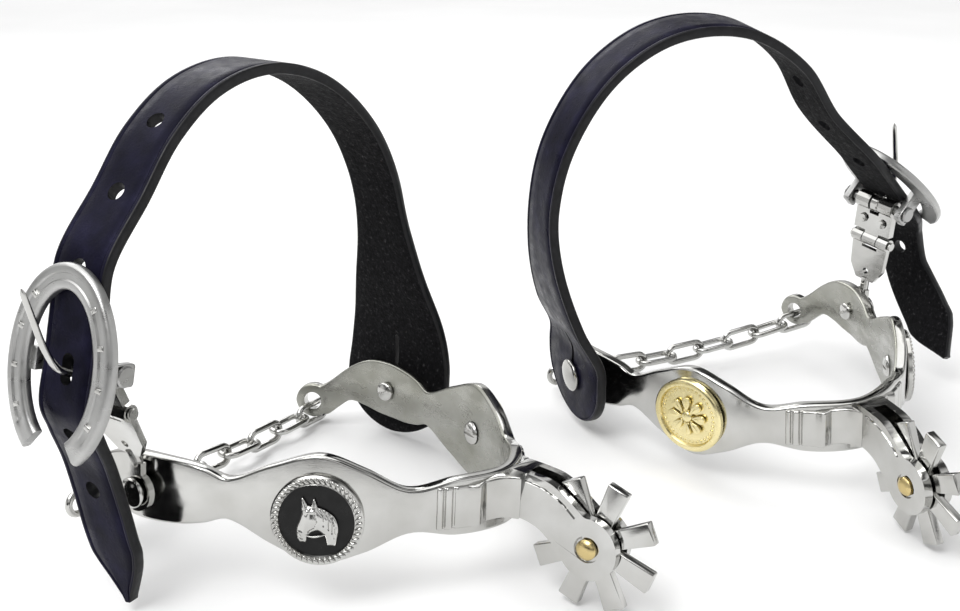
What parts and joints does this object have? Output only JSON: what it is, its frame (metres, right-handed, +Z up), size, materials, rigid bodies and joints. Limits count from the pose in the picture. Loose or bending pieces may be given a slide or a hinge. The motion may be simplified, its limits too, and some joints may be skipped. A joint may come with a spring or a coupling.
{
  "type": "pair of western spurs",
  "caption": "Western riding spurs with U-shaped steel heel bands, spoked rowels, round conchos, heel chains and black leather straps with horseshoe buckles.",
  "frame": {"origin": "centre of the pair's footprint on the surface it stands on", "axes": "+Z up, +Y forward towards the toes of the boots, +X to the wearer's right"},
  "size_m": [0.2788, 0.171, 0.1199],
  "materials": {
    "bright_steel": "mirror-polished stainless steel with fine scratches",
    "satin_steel": "satin, brushed along the horseshoe",
    "black_enamel": "gloss black field in a bright rope-edged rim",
    "gold": "pale gold plating, slightly worn",
    "brass": "satin brass pin head",
    "black_leather": "finished outer face with a bluish sheen, rough inner face"
  },
  "bodies": {
    "left_spur": {"left_heel_band": "bright_steel", "left_shank": "bright_steel", "left_rowel_pin": "brass", "left_outer_concho": "black_enamel", "left_outer_concho_emblem": "bright_steel", "left_outer_concho_screw": "bright_steel", "left_inner_concho": "gold", "left_inner_concho_emblem": "gold", "left_inner_concho_screw": "bright_steel", "left_strap_button": "bright_steel", "left_hanger_stud": "bright_steel"},
    "left_rowel_wheel": {"left_rowel": "bright_steel"},
    "left_heel_chain": {"left_chain_link_1": "bright_steel", "left_chain_link_2": "bright_steel", "left_chain_link_3": "bright_steel", "left_chain_link_4": "bright_steel", "left_chain_link_5": "bright_steel", "left_chain_link_6": "bright_steel", "left_chain_link_7": "bright_steel", "left_chain_link_8": "bright_steel", "left_chain_link_9": "bright_steel"},
    "left_strap_and_buckle": {"left_strap": "black_leather", "left_buckle_frame": "satin_steel", "left_buckle_bar": "satin_steel"},
    "left_tongue": {"left_buckle_tongue": "bright_steel"},
    "left_hanger_top": {"left_hanger_upper_plate": "bright_steel", "left_hanger_rivet_rear": "bright_steel", "left_hanger_rivet_front": "bright_steel"},
    "left_hanger_drop": {"left_hanger_lower_plate": "bright_steel", "left_hanger_hinge_pin": "bright_steel"},
    "right_spur": {"right_heel_band": "bright_steel", "right_shank": "bright_steel", "right_rowel_pin": "brass", "right_outer_concho": "black_enamel", "right_outer_concho_emblem": "bright_steel", "right_outer_concho_screw": "bright_steel", "right_inner_concho": "gold", "right_inner_concho_emblem": "gold", "right_inner_concho_screw": "bright_steel", "right_strap_button": "bright_steel", "right_hanger_stud": "bright_steel"},
    "right_rowel_wheel": {"right_rowel": "bright_steel"},
    "right_heel_chain": {"right_chain_link_1": "bright_steel", "right_chain_link_2": "bright_steel", "right_chain_link_3": "bright_steel", "right_chain_link_4": "bright_steel", "right_chain_link_5": "bright_steel", "right_chain_link_6": "bright_steel", "right_chain_link_7": "bright_steel", "right_chain_link_8": "bright_steel", "right_chain_link_9": "bright_steel"},
    "right_strap_and_buckle": {"right_strap": "black_leather", "right_buckle_frame": "satin_steel", "right_buckle_bar": "satin_steel"},
    "right_tongue": {"right_buckle_tongue": "bright_steel"},
    "right_hanger_top": {"right_hanger_upper_plate": "bright_steel", "right_hanger_rivet_rear": "bright_steel", "right_hanger_rivet_front": "bright_steel"},
    "right_hanger_drop": {"right_hanger_lower_plate": "bright_steel", "right_hanger_hinge_pin": "bright_steel"}
  },
  "joints": [
    {"name": "left_rowel_spin", "type": "hinge", "parent": "left_spur", "child": "left_rowel_wheel", "pos_m": [-0.04008, -0.04166, 0.01535], "axis": [0.9428, 0.3154, -0.108], "continuous": true},
    {"name": "left_chain_swing", "type": "hinge", "parent": "left_spur", "child": "left_heel_chain", "pos_m": [-0.07695, 0.06703, 0.01097], "axis": [0.9428, 0.3154, -0.108], "range_deg": [-25, 25]},
    {"name": "left_strap_swing", "type": "hinge", "parent": "left_spur", "child": "left_strap_and_buckle", "pos_m": [-0.06816, 0.04376, 0.01976], "axis": [0.9428, 0.3154, -0.108], "range_deg": [-30, 60]},
    {"name": "left_tongue_tilt", "type": "hinge", "parent": "left_strap_and_buckle", "child": "left_tongue", "pos_m": [-0.12435, 0.02436, 0.05901], "axis": [0.3155, -0.9488, -0.0174], "range_deg": [-25, 12]},
    {"name": "left_hanger_fold", "type": "hinge", "parent": "left_strap_and_buckle", "child": "left_hanger_top", "pos_m": [-0.12435, 0.02436, 0.05901], "axis": [0.3155, -0.9488, -0.0174], "range_deg": [-4, 4]},
    {"name": "left_hanger_knuckle", "type": "hinge", "parent": "left_hanger_top", "child": "left_hanger_drop", "pos_m": [-0.12018, 0.02595, 0.04786], "axis": [0.3155, -0.9488, -0.0174], "range_deg": [-12, 12]},
    {"name": "right_rowel_spin", "type": "hinge", "parent": "right_spur", "child": "right_rowel_wheel", "pos_m": [0.04174, -0.07068, 0.01523], "axis": [0.9453, -0.3163, 0.0802], "continuous": true},
    {"name": "right_chain_swing", "type": "hinge", "parent": "right_spur", "child": "right_heel_chain", "pos_m": [0.07844, 0.0381, 0.01163], "axis": [0.9453, -0.3163, 0.0802], "range_deg": [-25, 25]},
    {"name": "right_strap_swing", "type": "hinge", "parent": "right_spur", "child": "right_strap_and_buckle", "pos_m": [0.06987, 0.01469, 0.02027], "axis": [0.9453, -0.3163, 0.0802], "range_deg": [-30, 60]},
    {"name": "right_tongue_tilt", "type": "hinge", "parent": "right_strap_and_buckle", "child": "right_tongue", "pos_m": [0.1135, -0.0052, 0.05985], "axis": [0.0651, 0.9904, 0.1219], "range_deg": [-25, 12]},
    {"name": "right_hanger_fold", "type": "hinge", "parent": "right_strap_and_buckle", "child": "right_hanger_top", "pos_m": [0.1135, -0.0052, 0.05985], "axis": [0.0651, 0.9904, 0.1219], "range_deg": [-4, 4]},
    {"name": "right_hanger_knuckle", "type": "hinge", "parent": "right_hanger_top", "child": "right_hanger_drop", "pos_m": [0.11454, -0.0038, 0.04798], "axis": [0.0651, 0.9904, 0.1219], "range_deg": [-12, 12]},
    {"name": "right_spur_lift", "type": "slide", "parent": "left_spur", "child": "right_spur", "axis": [0, 0, 1], "range_m": [0, 0.2]}
  ],
  "couplings": [
    {"joint": "left_hanger_knuckle", "follows": "left_hanger_fold", "ratio": -1.507},
    {"joint": "right_hanger_knuckle", "follows": "right_hanger_fold", "ratio": -1.5}
  ]
}
